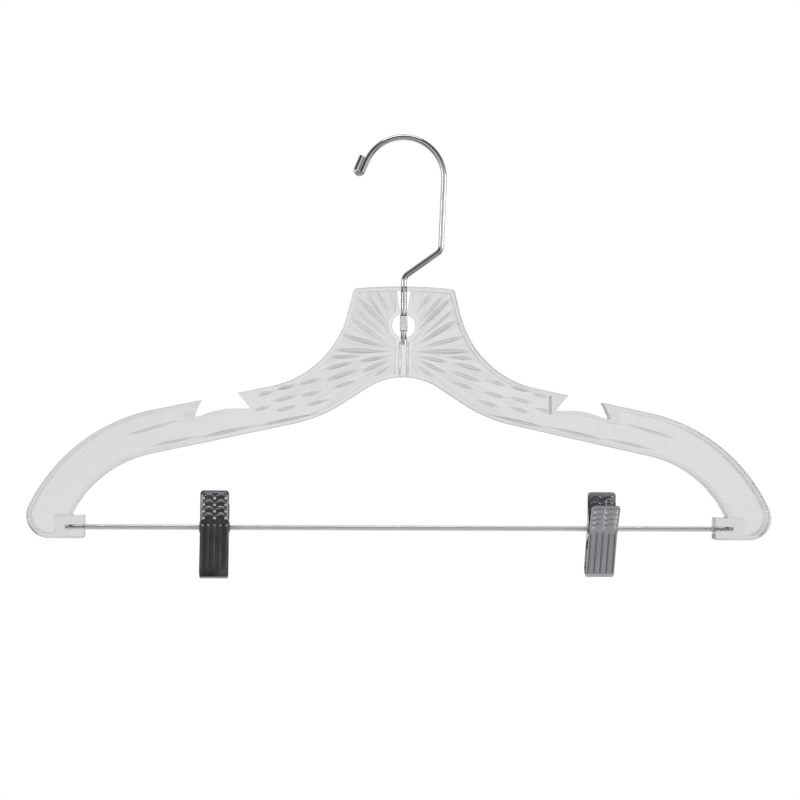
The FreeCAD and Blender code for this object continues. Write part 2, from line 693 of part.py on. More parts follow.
def make_spring(side):
    """Torsion spring: a coil round the tube and a straight leg up each tab."""
    name = "%s_clip_spring" % side
    coil = doc.addObject("Part::Helix", "%s_coil_line" % name)
    bind(coil, Pitch="spring_pitch", Height=COIL_LENGTH, Radius=COIL_RADIUS)
    section = doc.addObject("Part::Circle", "%s_section" % name)
    bind(section, Radius="spring_wire / 2")
    section.Placement.Rotation = FreeCAD.Rotation(Vector(0, 0, 1), Vector(0, 1, 0))
    place(section, x=COIL_RADIUS)
    wound = doc.addObject("Part::Sweep", "%s_coil" % name)
    wound.Sections = [section]
    wound.Spine = (coil, ["Edge1"])
    wound.Solid = True
    wound.Frenet = True
    pieces = [wound]
    # The coil's axis is Z until the finished spring is laid along the bar. Its first end then lies in
    # front of the tube and its last end behind it, and both legs leave the coil straight upwards.
    reach = "(%s + %s * spring_rise - spring_wire / 2 - spring_end_play)" % (INNER_WAIST, WAIST_LEAN)
    lean = value("(%s - %s) / spring_rise" % (reach, COIL_RADIUS))
    length = "sqrt(spring_rise ^ 2 + (%s - %s) ^ 2)" % (reach, COIL_RADIUS)
    pieces.append(cylinder("%s_front_leg" % name, "spring_wire / 2", length, Vector(lean, -1, 0),
                           x=COIL_RADIUS))
    pieces.append(cylinder("%s_rear_leg" % name, "spring_wire / 2", length, Vector(-lean, -1, 0),
                           x="-%s" % COIL_RADIUS, z=COIL_LENGTH))
    spring = fuse(name, pieces)
    bind(spring, Placement__Base__x="%s_clip_place - %s / 2" % (side, COIL_LENGTH),
         Placement__Base__z=BAR_AXIS)
    laid = FreeCAD.Rotation(Vector(0, -1, 0), Vector(0, 0, -1), Vector(1, 0, 0))
    swing = FreeCAD.Rotation(Vector(1, 0, 0), value("%s_clip_swing" % side))
    spring.Placement.Rotation = swing.multiply(laid)
    return spring


def make_pad(side, face):
    """Soft cushion inside a jaw, shown as a plain closed block that follows the jaw's plate."""
    name = "%s_clip_%s_pad" % (side, face)
    toward = "-1" if face == "front" else "1"

    def out(formula):
        return "%s * (%s)" % (toward, formula)

    body = doc.addObject("PartDesign::Body", name)
    low = "(lip_drop - pad_foot_gap)"
    high = "(%s - pad_height)" % low
    inner = "pad_gap / 2"
    profile = body_sketch(body, "%s_profile" % name, [
        (out("%s - %s * %s" % (INNER_WAIST, LOW_LEAN, high)), "-%s" % high, "0"),
        (out("%s - %s * %s" % (INNER_WAIST, LOW_LEAN, low)), "-%s" % low, "0"),
        (out(inner), "-%s" % low, "0"),
        (out(inner), "-%s - pad_slant" % high, "0"),
    ], "YZ_Plane")
    block = body.newObject("PartDesign::Pad", "%s_block" % name)
    block.Profile = profile
    block.Midplane = True
    bind(block, Length="jaw_width - 2 * pad_margin")
    body.Tip = block
    return put_on_bar(body, side)


# ---------------------------------------------------------------------------------------------
# Build, check and write every piece
# ---------------------------------------------------------------------------------------------
pieces = [make_hanger_body(), make_hook(), make_bar()]
for clip_side in ("left", "right"):
    pieces.append(make_tube(clip_side))
    for jaw_face in ("front", "rear"):
        pieces.append(make_jaw(clip_side, jaw_face))
        pieces.append(make_pad(clip_side, jaw_face))
    pieces.append(make_spring(clip_side))
doc.recompute()

for item in doc.Objects:
    if "Invalid" in item.State or "Error" in item.State:
        raise RuntimeError("%s failed: %s" % (item.Name, item.State))

os.makedirs("parts", exist_ok=True)
for piece in pieces:
    piece.Label = piece.Name
    shape = piece.Shape
    if shape.isNull() or not shape.isValid():
        raise RuntimeError("%s has no valid shape" % piece.Label)
    shape.exportStep("parts/%s.step" % piece.Label)
    print("%-26s %9.1f mm3, %d solid(s)" % (piece.Label, shape.Volume, len(shape.Solids)))
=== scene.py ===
# %% [markdown]
# # A clear suit hanger, dressed for the studio
# The hanger's shape comes from its CAD model, which this script loads and never moves. Blender adds what
# CAD leaves out: the moulded sunburst and feather relief, the pressed beads of the clips, the wound
# springs, the soft vinyl linings, and above all the finishes. We start by loading the model.

import math

import bmesh
import bpy
from mathutils import Matrix, Vector


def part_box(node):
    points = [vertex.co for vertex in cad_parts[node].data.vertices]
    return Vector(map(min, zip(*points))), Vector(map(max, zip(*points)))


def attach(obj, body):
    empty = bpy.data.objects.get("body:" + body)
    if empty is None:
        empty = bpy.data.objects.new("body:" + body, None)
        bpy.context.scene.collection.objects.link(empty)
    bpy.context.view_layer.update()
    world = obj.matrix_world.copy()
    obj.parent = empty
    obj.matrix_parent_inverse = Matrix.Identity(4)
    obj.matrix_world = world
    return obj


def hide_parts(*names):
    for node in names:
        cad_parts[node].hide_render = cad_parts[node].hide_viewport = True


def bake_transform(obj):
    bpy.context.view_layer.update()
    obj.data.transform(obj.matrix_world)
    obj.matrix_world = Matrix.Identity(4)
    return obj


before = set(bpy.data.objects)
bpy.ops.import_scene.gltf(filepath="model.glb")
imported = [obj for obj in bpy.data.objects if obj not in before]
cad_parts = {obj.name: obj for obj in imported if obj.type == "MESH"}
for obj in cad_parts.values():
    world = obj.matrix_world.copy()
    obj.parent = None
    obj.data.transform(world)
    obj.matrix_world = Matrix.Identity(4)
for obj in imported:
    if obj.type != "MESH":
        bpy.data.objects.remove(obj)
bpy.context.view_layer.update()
MM = 0.001
print("CAD nodes:", sorted(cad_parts))

# %% [markdown]
# ## Camera
# The hanger is seen almost straight on, from a little left of its middle, through a long lens. A long
# lens far away keeps the arms level and hardly shows the depth of the rim.

# %% Camera
CAMERA_DISTANCE = 1.2
CAMERA_TURN = math.radians(-3.5)
CAMERA_ROLL = math.radians(-0.43)
FRAME_WIDTH = 0.4645
SENSOR = 36.0
AIM = Vector((-0.0018, 0, -0.1509))

lens_data = bpy.data.cameras.new("studio_camera")
lens_data.sensor_width = SENSOR
lens_data.lens = SENSOR * CAMERA_DISTANCE / FRAME_WIDTH
camera = bpy.data.objects.new("studio_camera", lens_data)
bpy.context.scene.collection.objects.link(camera)
camera.location = AIM + CAMERA_DISTANCE * Vector((math.sin(CAMERA_TURN), -math.cos(CAMERA_TURN), 0))
camera.rotation_euler = (math.radians(90), CAMERA_ROLL, CAMERA_TURN)
bpy.context.scene.camera = camera
print("lens %.1f mm" % lens_data.lens)


# %% [markdown]
# ## Small tools for materials
# Colours are written the way a paint program shows them, as sRGB hex, and one function turns them into
# the linear numbers that Blender works with. A second one adds a node, sets its values and wires its
# inputs in one call, which keeps each material short enough to read.

# %% Material tools
def linear(hex_code):
    """sRGB hex such as C8CACC to linear RGBA."""
    parts = [int(hex_code[i:i + 2], 16) / 255 for i in (0, 2, 4)]
    return [c / 12.92 if c <= 0.04045 else ((c + 0.055) / 1.055) ** 2.4 for c in parts] + [1.0]


def add(tree, kind, wires=None, **settings):
    """Add a node: settings are its own properties, wires are socket name to value or output socket."""
    node = tree.nodes.new(kind)
    for name, value in settings.items():
        setattr(node, name, value)
    for name, value in (wires or {}).items():
        socket = node.inputs[name]
        if isinstance(value, bpy.types.NodeSocket):
            tree.links.new(value, socket)
        else:
            socket.default_value = value
    return node


def new_material(name):
    """Empty node material, with its tree and its output node."""
    material = bpy.data.materials.new(name)
    material.use_nodes = True
    material.node_tree.nodes.clear()
    print("material", name)
    return material, material.node_tree


# %% [markdown]
# ## Clear polystyrene
# Arms like these are injection-moulded in crystal polystyrene: hard, glossy, clear as glass, with an index
# of refraction of 1.59, higher than window glass, so every edge and rib draws a dark or a bright line. The
# rim is polished. The thin web between the rims has a fine satin grain, which scatters what is seen through
# it and turns it a soft grey. Two finishes in one material: a mask from the depth tells web from rim.

# %% Clear polystyrene
WEB_HALF = 1.2 * MM
WEB_FADE = 0.15 * MM
POLYSTYRENE_INDEX = 1.59
# The streaks fan out from this depth below the rail, and fade over this stretch to either side.
FAN_DEPTH = 122 * MM
FAN_FADE = (35 * MM, 85 * MM)


def clear_polystyrene(name, satin, clear_tint):
    """Clear plastic; satin is how strongly the thin web is grained, 0 leaves the whole piece polished."""
    material, tree = new_material(name)
    place = add(tree, "ShaderNodeTexCoord").outputs["Object"]
    depth = add(tree, "ShaderNodeSeparateXYZ", {"Vector": place})
    off_middle = add(tree, "ShaderNodeMath", {0: depth.outputs["Y"]}, operation="ABSOLUTE")
    web = add(tree, "ShaderNodeMapRange", {
        "Value": off_middle.outputs[0], "From Min": WEB_HALF + WEB_FADE, "From Max": WEB_HALF + 2 * WEB_FADE,
        "To Min": satin, "To Max": 0.0})
    # Flow waves are some 6 mm apart along the arm and 25 mm long.
    stretched = add(tree, "ShaderNodeMapping", {"Vector": place, "Scale": (40, 60, 160)})
    flow = add(tree, "ShaderNodeTexNoise", {"Vector": stretched.outputs[0], "Scale": 1.0, "Detail": 2.0})
    bump = add(tree, "ShaderNodeBump", {"Height": flow.outputs[0], "Strength": 0.15, "Distance": 0.0006})
    # Handling leaves scuffs about 1 mm apart, which only the roughness shows.
    scuffs = add(tree, "ShaderNodeTexNoise", {"Vector": place, "Scale": 900.0, "Detail": 4.0})
    polish = add(tree, "ShaderNodeMapRange", {"Value": scuffs.outputs[0], "From Min": 0.45, "From Max": 0.75,
                                              "To Min": 0.02, "To Max": 0.07})
    rough = add(tree, "ShaderNodeMath", {0: web.outputs[0], 1: 0.14, 2: polish.outputs[0]},
                operation="MULTIPLY_ADD")
    tint = add(tree, "ShaderNodeMixRGB", {"Fac": web.outputs[0], "Color1": linear(clear_tint),
                                          "Color2": linear("E9E9E9")})
    # Faint darker streaks in the web are painted shade, standing in for the dark lines of the moulded ridges:
    # noise over the angle round the hook's foot, drawn out away from it.
    above_foot = add(tree, "ShaderNodeMath", {0: depth.outputs["Z"], 1: FAN_DEPTH}, operation="ADD")
    turn = add(tree, "ShaderNodeMath", {0: depth.outputs["X"], 1: above_foot.outputs[0]}, operation="ARCTAN2")
    aside = add(tree, "ShaderNodeMath", {0: depth.outputs["X"]}, operation="ABSOLUTE")
    fan = add(tree, "ShaderNodeCombineXYZ", {"X": turn.outputs[0], "Y": aside.outputs[0]})
    spread = add(tree, "ShaderNodeMapping", {"Vector": fan.outputs[0], "Scale": (11, 25, 1)})
    streaks = add(tree, "ShaderNodeTexNoise", {"Vector": spread.outputs[0], "Scale": 1.0, "Detail": 3.0})
    fade = add(tree, "ShaderNodeMapRange", {
        "Value": aside.outputs[0], "From Min": FAN_FADE[0], "From Max": FAN_FADE[1], "To Min": satin,
        "To Max": 0.0})
    streak = add(tree, "ShaderNodeMapRange", {"Value": streaks.outputs[0], "From Min": 0.4, "From Max": 0.65,
                                              "To Max": fade.outputs[0]})
    painted_streak_shade = add(tree, "ShaderNodeMath", {0: streak.outputs[0], 1: web.outputs[0]}, operation="MULTIPLY")
    tint = add(tree, "ShaderNodeMixRGB", {"Fac": painted_streak_shade.outputs[0], "Color1": tint.outputs[0],
                                          "Color2": linear("DEDEDE")})
    plastic = add(tree, "ShaderNodeBsdfPrincipled", {
        "Base Color": tint.outputs[0], "Roughness": rough.outputs[0], "IOR": POLYSTYRENE_INDEX,
        "Transmission Weight": 1.0, "Normal": bump.outputs[0]})
    haze = add(tree, "ShaderNodeVolumeAbsorption", {"Color": linear("C9CACA"), "Density": 25.0})
    add(tree, "ShaderNodeOutputMaterial", {"Surface": plastic.outputs[0], "Volume": haze.outputs[0]})
    return material


CLEAR_POLYSTYRENE = clear_polystyrene("clear_polystyrene", 1.0, "ECECEC")
POLISHED_POLYSTYRENE = clear_polystyrene("polished_polystyrene_relief", 0.0, "FAFAFA")


# %% [markdown]
# ## Chrome
# The hook and the bar are drawn steel wire under chrome, with the die's faint lines running along the
# wire. The hook is close to a mirror. The bar, which the clips rub, is satin. The clips are pressed from
# sheet, plated the same, and a little duller than the hook. A metal keeps Blender's default index; its
# colour and its roughness do the work. Real die lines are hundredths of a millimetre apart: here they
# are a third of a millimetre apart, as coarse as they need to be to show.

# %% Chrome finishes
SMUDGE_TONE = 0.86


def chrome(name, colour, low, high, grain):
    """Plated steel: low and high are the roughness, grain the repeats per metre along X, Y and Z."""
    material, tree = new_material(name)
    place = add(tree, "ShaderNodeTexCoord").outputs["Object"]
    lines = add(tree, "ShaderNodeMapping", {"Vector": place, "Scale": grain})
    drawn = add(tree, "ShaderNodeTexNoise", {"Vector": lines.outputs[0], "Scale": 1.0, "Detail": 3.0})
    # Finger smudges are some 8 mm across.
    smudge = add(tree, "ShaderNodeTexNoise", {"Vector": place, "Scale": 120.0, "Detail": 5.0})
    rough = add(tree, "ShaderNodeMapRange", {"Value": smudge.outputs[0], "From Min": 0.35,
                                             "From Max": 0.7, "To Min": low, "To Max": high})
    tint = add(tree, "ShaderNodeMixRGB", {"Fac": smudge.outputs[0], "Color1": linear(colour),
                                          "Color2": [c * SMUDGE_TONE for c in linear(colour)[:3]] + [1.0]})
    bump = add(tree, "ShaderNodeBump", {"Height": drawn.outputs[0], "Strength": 0.05, "Distance": 0.0002})
    metal = add(tree, "ShaderNodeBsdfPrincipled", {
        "Base Color": tint.outputs[0], "Metallic": 1.0, "Roughness": rough.outputs[0],
        "Normal": bump.outputs[0]})
    add(tree, "ShaderNodeOutputMaterial", {"Surface": metal.outputs[0]})
    return material


CHROMED_WIRE = chrome("bright_chrome_on_drawn_wire", "B9BBBE", 0.08, 0.18, (3000, 3000, 60))
CHROMED_BAR = chrome("bright_chrome_on_straight_wire", "E2E4E6", 0.40, 0.52, (60, 3000, 3000))
CHROMED_SHEET = chrome("bright_chrome_on_pressed_sheet", "A2A4A7", 0.12, 0.26, (1500, 1500, 120))
# The studs get a lighter chrome than the sheet, a painted highlight, so they glitter on the dark clip.
HIGHLIGHT_BRIGHTENED_STUDS = chrome("chrome_painted_bright_stud_highlights", "E6E7E8", 0.40, 0.55, (900, 900, 900))
SPRING_STEEL = chrome("bright_drawn_spring_steel", "C4C6C9", 0.16, 0.28, (900, 2500, 2500))


# %% [markdown]
# ## Soft vinyl
# The linings of the jaws are cut from plasticised vinyl, the usual non-slip sheet: milky, slightly see
# through, soft, with a dull wet shine. Light enters and comes back out a millimetre away, so a little
# subsurface scattering keeps them from looking like chalk. Pores some 0.4 mm apart break up the shine,
# and clouds of 3 mm vary its tone.

# %% Soft vinyl
def soft_vinyl():
    """Milky plasticised sheet with clouds and pores."""
    material, tree = new_material("milky_soft_vinyl")
    place = add(tree, "ShaderNodeTexCoord").outputs["Object"]
    cloud = add(tree, "ShaderNodeTexNoise", {"Vector": place, "Scale": 350.0, "Detail": 4.0})
    tone = add(tree, "ShaderNodeMixRGB", {"Fac": cloud.outputs[0], "Color1": linear("E3E2DC"),
                                          "Color2": linear("CFCEC7")})
    rough = add(tree, "ShaderNodeMapRange", {"Value": cloud.outputs[0], "To Min": 0.38, "To Max": 0.6})
    pores = add(tree, "ShaderNodeTexVoronoi", {"Vector": place, "Scale": 2600.0})
    bump = add(tree, "ShaderNodeBump", {"Height": pores.outputs["Distance"], "Strength": 0.15,
                                        "Distance": 0.0001})
    vinyl = add(tree, "ShaderNodeBsdfPrincipled", {
        "Base Color": tone.outputs[0], "Roughness": rough.outputs[0], "Subsurface Weight": 0.4,
        "Subsurface Scale": 0.001, "Normal": bump.outputs[0]})
    add(tree, "ShaderNodeOutputMaterial", {"Surface": vinyl.outputs[0]})
    return material


SOFT_VINYL = soft_vinyl()

# %% [markdown]
# ## Finishes on the CAD pieces
# The pieces that come straight from the CAD model get their finish here. Three have one of their own, and
# the rest are pressed sheet. The CAD springs and linings are dressed too, until their better shapes
# further on take their places.

# %% Put the finishes on the CAD pieces
FINISHES = {"hanger_body": CLEAR_POLYSTYRENE, "swivel_hook": CHROMED_WIRE, "trouser_bar": CHROMED_BAR}
for node_name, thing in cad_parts.items():
    finish = FINISHES.get(node_name, CHROMED_SHEET)
    thing.data.materials.clear()
    thing.data.materials.append(finish)
print("finished", len(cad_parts), "CAD pieces")

# %% [markdown]
# ## Small tools for shapes
# Every added piece is a closed mesh. Most of them are one outline carried along a path: a list of rings,
# each ring a list of points, joined by quads and closed at both ends. One function builds that for every
# piece here, from the springs to the moulded rays. Corners sharper than 55 degrees stay sharp: in clear
# plastic a flat face that is shaded as if it were round turns black.

# %% Shape tools
SHARP_CORNER = math.radians(55)


def circle_turns(sides):
    """Angles of the points of one round ring."""
    return [2 * math.pi * k / sides for k in range(sides)]


def closed_shell(form, rings):
    """Add one closed shell to a bmesh: neighbouring rings are joined by quads, the end rings are capped."""
    layers = [[form.verts.new(point) for point in ring] for ring in rings]
    for low, high in zip(layers, layers[1:]):
        for i in range(len(low)):
            j = (i + 1) % len(low)
            form.faces.new((low[i], low[j], high[j], high[i]))
    form.faces.new(layers[0])
    form.faces.new(layers[-1])


def finish_piece(name, form, material):
    """Turn a bmesh into a smooth object with a finish."""
    bmesh.ops.recalc_face_normals(form, faces=form.faces)
    mesh = bpy.data.meshes.new(name)
    form.to_mesh(mesh)
    form.free()
    mesh.polygons.foreach_set("use_smooth", [True] * len(mesh.polygons))
    mesh.set_sharp_from_angle(angle=SHARP_CORNER)
    mesh.materials.append(material)
    piece = bpy.data.objects.new(name, mesh)
    bpy.context.scene.collection.objects.link(piece)
    print("%-30s %6d faces" % (name, len(mesh.polygons)))
    return piece


def tube_rings(path, radii, sides=12):
    """Rings round a path; each keeps the last one's sideways direction, so that the tube never twists."""
    rings = []
    side = None
    for i, point in enumerate(path):
        ahead = (path[min(i + 1, len(path) - 1)] - path[max(i - 1, 0)]).normalized()
        if side is None:
            side = ahead.orthogonal().normalized()
        side = (side - ahead * side.dot(ahead)).normalized()
        up = ahead.cross(side)
        rings.append([point + (side * math.cos(t) + up * math.sin(t)) * radii[i]
                      for t in circle_turns(sides)])
    return rings


# %% [markdown]
# ## Moulded relief
# The web carries a sunburst round the foot of the hook and, further out, rows of short feather strokes
# that lean with the arm. Each one is a shallow rounded ridge on both faces of the web: thin, tapered to
# nothing at both ends, like a sliver of a lens. It could be a bump map, but a bump can't bend the room
# behind the plastic the way a real ridge does, and these ridges are what the eye notices in clear plastic.

# %% Sunburst and feather strokes
RIDGE_SINK = 0.06 * MM
RIDGE_STEPS = 16
RIDGE_SIDES = 11
# Powers that shape a ridge along its length: where it is thickest, and how full it is.
RIDGE_PEAK = 1.3
RIDGE_FULLNESS = 0.8
RIDGE_TIP = 0.02

# The heights below only compare the ridges with each other; a ridge stands this share of its number.
RIDGE_SHARE = 0.44

# Each ray: its inner end, its outer end, its greatest width and its height, in mm in the X-Z plane.
RAYS = [
    ((-8.0, -100.0), (-15.5, -88.5), 2.4, 0.20),
    ((-7.6, -111.0), (-27.5, -91.0), 3.0, 0.32),
    ((-10.0, -105.5), (-22.0, -90.5), 2.2, 0.20),
    ((-8.5, -118.6), (-31.0, -104.0), 3.2, 0.32),
    ((-10.0, -114.5), (-29.0, -98.0), 2.2, 0.20),
    ((-7.5, -122.9), (-40.5, -122.2), 3.0, 0.36),
    ((-9.5, -120.6), (-35.5, -113.6), 2.8, 0.26),
    ((-7.5, -125.3), (-26.0, -128.7), 2.4, 0.30),
    ((-24.0, -125.6), (-42.0, -126.6), 2.2, 0.26),
    ((-8.5, -127.6), (-25.0, -135.2), 2.4, 0.30),
    ((-28.0, -128.6), (-46.0, -133.6), 2.6, 0.34),
    ((-25.0, -133.0), (-45.0, -139.8), 2.6, 0.32),
    ((-27.0, -139.6), (-41.0, -144.4), 2.2, 0.28),
    ((-7.5, -130.5), (-17.0, -137.4), 2.0, 0.22),
]
STROKES = [
    ((-47.0, -138.6), (-60.5, -142.2)), ((-46.0, -145.8), (-59.5, -149.0)),
    ((-60.0, -148.6), (-75.5, -152.2)), ((-42.5, -150.8), (-56.0, -154.4)),
    ((-61.0, -154.4), (-74.0, -157.8)), ((-61.0, -142.4), (-73.5, -145.2)),
    ((-75.0, -146.4), (-84.5, -148.8)), ((-76.5, -155.0), (-86.0, -157.4)),
]
# A feather stroke's width and height.
STROKE_SIZE = (2.2, 0.19)
# Long flow lines just above the lower rim, with their widths and heights.
FLOW_LINES = [
    ((-46.0, -158.2), (-84.0, -166.6), 1.8, 0.30), ((-82.0, -165.4), (-118.0, -173.4), 1.8, 0.26),
    ((-116.0, -172.2), (-146.0, -178.6), 1.6, 0.20), ((-128.0, -163.2), (-160.0, -172.4), 1.8, 0.16),
]


def ridge(form, start, end, width, height, face):
    """Low swelling from start to end; face is -1 for the front of the web and 1 for the back."""
    first = Vector((start[0], 0, start[1])) * MM
    last = Vector((end[0], 0, end[1])) * MM
    along = (last - first).normalized()
    across = along.cross(Vector((0, 1, 0)))
    outward = Vector((0, face, 0))
    base = outward * (WEB_HALF - RIDGE_SINK)
    rings = []
    for step in range(RIDGE_STEPS + 1):
        u = step / RIDGE_STEPS
        # Thickest three fifths of the way out, sharp at both ends.
        swell = max(math.sin(math.pi * u ** RIDGE_PEAK), RIDGE_TIP) ** RIDGE_FULLNESS
        middle = first.lerp(last, u) + base
        ring = []
        for k in range(RIDGE_SIDES):
            side = 1 - 2 * k / (RIDGE_SIDES - 1)
            # A cosine rises from the web without a corner, as a polished mould does.
            round_off = 0.5 + 0.5 * math.cos(math.pi * side)
            rise = (height * RIDGE_SHARE * MM + RIDGE_SINK) * swell * round_off
            ring.append(middle + across * (width * MM / 2 * swell * side) + outward * rise)
        rings.append(ring)
    closed_shell(form, rings)


def flipped(point):
    """The same place on the other arm."""
    return (-point[0], point[1])


def make_relief(name, ridges, face):
    """One piece with a set of ridges on both arms, on one face of the web."""
    form = bmesh.new()
    for start, end, width, height in ridges:
        ridge(form, start, end, width, height, face)
        ridge(form, flipped(start), flipped(end), width, height, face)
    piece = finish_piece(name, form, POLISHED_POLYSTYRENE)
    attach(piece, "hanger")


FEATHERS = [(start, end) + STROKE_SIZE for start, end in STROKES]
for face_name, face in (("front", -1), ("back", 1)):
    make_relief("sunburst_%s" % face_name, RAYS, face)
    make_relief("feather_strokes_%s" % face_name, FEATHERS + FLOW_LINES, face)

# %% [markdown]
# ## Ribs on the shaft's boss
# Two slim ribs run down each face of the boss that holds the hook's shaft, one at each side of the hole.
# They are half-round, and catch a bright line each.

# %% Boss ribs
BOSS_FACE = 4.0 * MM
BOSS_RIB_PLACE = 2.2 * MM
BOSS_RIB_RADIUS = 0.8 * MM
BOSS_RIB_SINK = 0.35 * MM
BOSS_RIB_TOP = -117.0 * MM
BOSS_RIB_FOOT = -136.5 * MM
BOSS_RIB_STEPS = 8
BOSS_RIB_SIDES = 16
BOSS_RIB_TIP = 0.05
BOSS_RIB_FULLNESS = 0.25


def boss_rib(form, x, face):
    """One upright rib with drawn-in ends; face is -1 for the front of the boss and 1 for the back."""
    depth = face * (BOSS_FACE - BOSS_RIB_SINK)
    rings = []
    for step in range(BOSS_RIB_STEPS + 1):
        u = step / BOSS_RIB_STEPS
        radius = BOSS_RIB_RADIUS * max(math.sin(math.pi * u), BOSS_RIB_TIP) ** BOSS_RIB_FULLNESS
        middle = Vector((x, depth, BOSS_RIB_TOP + (BOSS_RIB_FOOT - BOSS_RIB_TOP) * u))
        rings.append([middle + Vector((radius * math.cos(t), radius * math.sin(t), 0))
                      for t in circle_turns(BOSS_RIB_SIDES)])
    closed_shell(form, rings)


form = bmesh.new()
for x in (-BOSS_RIB_PLACE, BOSS_RIB_PLACE):
    for face in (-1, 1):
        boss_rib(form, x, face)
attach(finish_piece("shaft_boss_ribs", form, POLISHED_POLYSTYRENE), "hanger")


# %% [markdown]
# ## Clip frames
# Everything on a clip is drawn round the clip's own pivot, with X along the bar, and then swung to the
# clip's angle. The pivot's place comes from the box of its tube, and the angle from the line between the
# middles of the clip's two jaws. The jaws' ears nest one inside the other, so the two meshes are not
# quite mirror images, and the angle comes out about half a degree small.

# %% Clip frames
def clip_frame(side):
    """Matrix from a clip's own frame to the hanger's."""
    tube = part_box("%s_clip_pivot_tube" % side)
    pivot = (Vector(tube[0]) + Vector(tube[1])) / 2
    middles = {}
    for face in ("front", "rear"):
        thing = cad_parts["%s_clip_%s_jaw" % (side, face)]
        points = [thing.matrix_world @ vertex.co - pivot for vertex in thing.data.vertices]
        middles[face] = sum(points, Vector()) / len(points)
    # The two jaws nearly mirror each other, so the line between their middles is close to the clip's own Y.
    own_y = middles["rear"] - middles["front"]
    swing = math.atan2(own_y.z, own_y.y)
    print("%s clip: pivot %s" % (side, [round(c, 4) for c in pivot]))
    print("%s clip: swing %.1f degrees" % (side, math.degrees(swing)))
    return Matrix.Translation(pivot) @ Matrix.Rotation(swing, 4, "X")


CLIP_FRAMES = {side: clip_frame(side) for side in ("left", "right")}
# Which way along the clip's own Y each jaw faces.
FACES = (("front", -1), ("rear", 1))

# %% [markdown]
# ## Springs
# A torsion spring sits on each pivot: five and a half turns of 0.8 mm steel wire, one leg behind each
# finger tab. The CAD spring is stiff, so a swept wire takes its place, fixed at the clip's present angle.

# %% Springs
# The wire's radius, and the radius of the coil's middle line.
WIRE = 0.4 * MM
COIL = 2.8 * MM
COIL_HALF = 2.75 * MM
TURNS = 5.5
LEG_RISE = 11.4 * MM
LEG_REACH = 6.56 * MM
HOOK_RISE = 15.2 * MM
HOOK_REACH = 7.55 * MM
HOOK_END = 5.9 * MM
HOOK_BEND = 0.5 * MM
HOOK_EASE = 0.15 * MM
HOOK_LEAN = 0.1 * MM
STEPS_PER_TURN = 28
LEG_STEPS = 8
WIRE_END_SHARE = 0.7


def spring_path():
    """Middle line of the wire, from the front leg's hook through the coil to the rear leg's hook."""
    front_tip = Vector((-COIL_HALF, -LEG_REACH, LEG_RISE))
    rear_tip = Vector((COIL_HALF, LEG_REACH, LEG_RISE))
    points = []
    steps = int(TURNS * STEPS_PER_TURN)
    for step in range(steps + 1):
        u = step / steps
        turn = math.pi + 2 * math.pi * TURNS * u
        points.append(Vector((COIL_HALF * (2 * u - 1), COIL * math.cos(turn), COIL * math.sin(turn))))
    front_leg = [front_tip.lerp(points[0], k / LEG_STEPS) for k in range(LEG_STEPS)]
    rear_leg = [points[-1].lerp(rear_tip, (k + 1) / LEG_STEPS) for k in range(LEG_STEPS)]
    # Past the tip each leg leans with its tab and ends in a short hook that keeps it from turning.
    rear_hook = [Vector((COIL_HALF, HOOK_REACH - HOOK_LEAN, HOOK_RISE - HOOK_BEND)),
                 Vector((COIL_HALF + HOOK_EASE, HOOK_REACH, HOOK_RISE - HOOK_EASE)),
                 Vector((COIL_HALF + HOOK_BEND, HOOK_REACH, HOOK_RISE)),
                 Vector((HOOK_END, HOOK_REACH, HOOK_RISE))]
    front_hook = [Vector((-point.x, -point.y, point.z)) for point in reversed(rear_hook)]
    return front_hook + front_leg + points + rear_leg + rear_hook


for side, matrix in CLIP_FRAMES.items():
    path = spring_path()
    radii = [WIRE] * len(path)
    radii[0] = radii[-1] = WIRE * WIRE_END_SHARE
    form = bmesh.new()
    closed_shell(form, [[matrix @ point for point in ring] for ring in tube_rings(path, radii)])
    spring = finish_piece("%s_torsion_spring" % side, form, SPRING_STEEL)
    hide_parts("%s_clip_spring" % side)
    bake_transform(spring)


# %% [markdown]
# ## Vinyl linings
# Each jaw is lined with a solid block of vinyl, with nothing padded in it. Its gripping face is cut with
# fine ridges across the cloth, its edges are rounded, and its back follows the jaw. The outline is drawn
# from the side and carried across the jaw, shrinking over the last 0.6 mm at each end, which rounds the
# ends too.

# %% Vinyl linings
LINING_HALF = 7.5 * MM
LINING_TOP = -14.8 * MM
LINING_FOOT = -26.8 * MM
LINING_FACE = 0.1 * MM
LINING_BACK_TOP = 3.77 * MM
LINING_BACK_FOOT = 3.51 * MM
LINING_ROUND = 0.6 * MM
# The gripping face starts this much lower than the back, below a small lip.
LINING_SLANT = 2 * MM
LINING_LIP = 0.3 * MM
LINING_HALF_HEIGHT = 6 * MM
ROUND_STEPS = 5
GROOVE_COUNT = 7
GROOVE_DEPTH = 0.35 * MM
POINTS_PER_GROOVE = 4


def lining_outline(toward):
    """Side view as (y, z) points, from the gripping face's top down and back up the rear."""
    top = LINING_TOP - LINING_SLANT
    height = top - LINING_FOOT - LINING_ROUND
    points = [(LINING_FACE + 0.5 * LINING_ROUND, top + LINING_LIP)]
    steps = POINTS_PER_GROOVE * GROOVE_COUNT
    for k in range(steps + 1):
        u = k / steps
        groove = GROOVE_DEPTH * (0.5 - 0.5 * math.cos(2 * math.pi * GROOVE_COUNT * u))
        points.append((LINING_FACE + GROOVE_DEPTH - groove, top - height * u))
    points += [(LINING_FACE + LINING_ROUND, LINING_FOOT), (LINING_BACK_FOOT - LINING_ROUND, LINING_FOOT)]
    points += [(LINING_BACK_FOOT, LINING_FOOT + LINING_ROUND), (LINING_BACK_TOP, LINING_TOP - LINING_ROUND)]
    points += [(LINING_BACK_TOP - LINING_ROUND, LINING_TOP)]
    return [(toward * y, z) for y, z in points]


